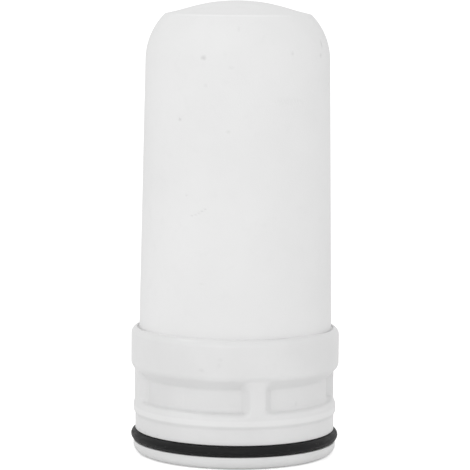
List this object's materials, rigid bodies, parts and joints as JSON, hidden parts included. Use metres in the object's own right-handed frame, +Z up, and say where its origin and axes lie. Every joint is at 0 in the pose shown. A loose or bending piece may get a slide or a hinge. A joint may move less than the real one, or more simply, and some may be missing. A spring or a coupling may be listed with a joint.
{
  "type": "ceramic water filter cartridge",
  "caption": "Replaceable ceramic water filter cartridge: a domed ceramic shell bonded into a moulded base cup with a rubber sealing ring and an outlet grid in its foot.",
  "frame": {"origin": "centre of the foot ring's flat face, under the cartridge", "axes": "+Z up along the cartridge's axis, from the foot to the dome; a rib between two windows faces -Y"},
  "size_m": [0.04, 0.04, 0.0868],
  "materials": {
    "cup_plastic": "moulded, softly glossy",
    "shell_ceramic": "unglazed, fine-pored, matt",
    "ring_rubber": "moulded, lightly dusty",
    "adhesive": "cured, dull",
    "felt": "non-woven",
    "carbon": "loose granules"
  },
  "bodies": {
    "root": {"base_cup": "cup_plastic", "ceramic_shell": "shell_ceramic", "o_ring": "ring_rubber", "bond_ring": "adhesive", "felt_pad": "felt", "carbon_bed": "carbon"}
  },
  "joints": []
}
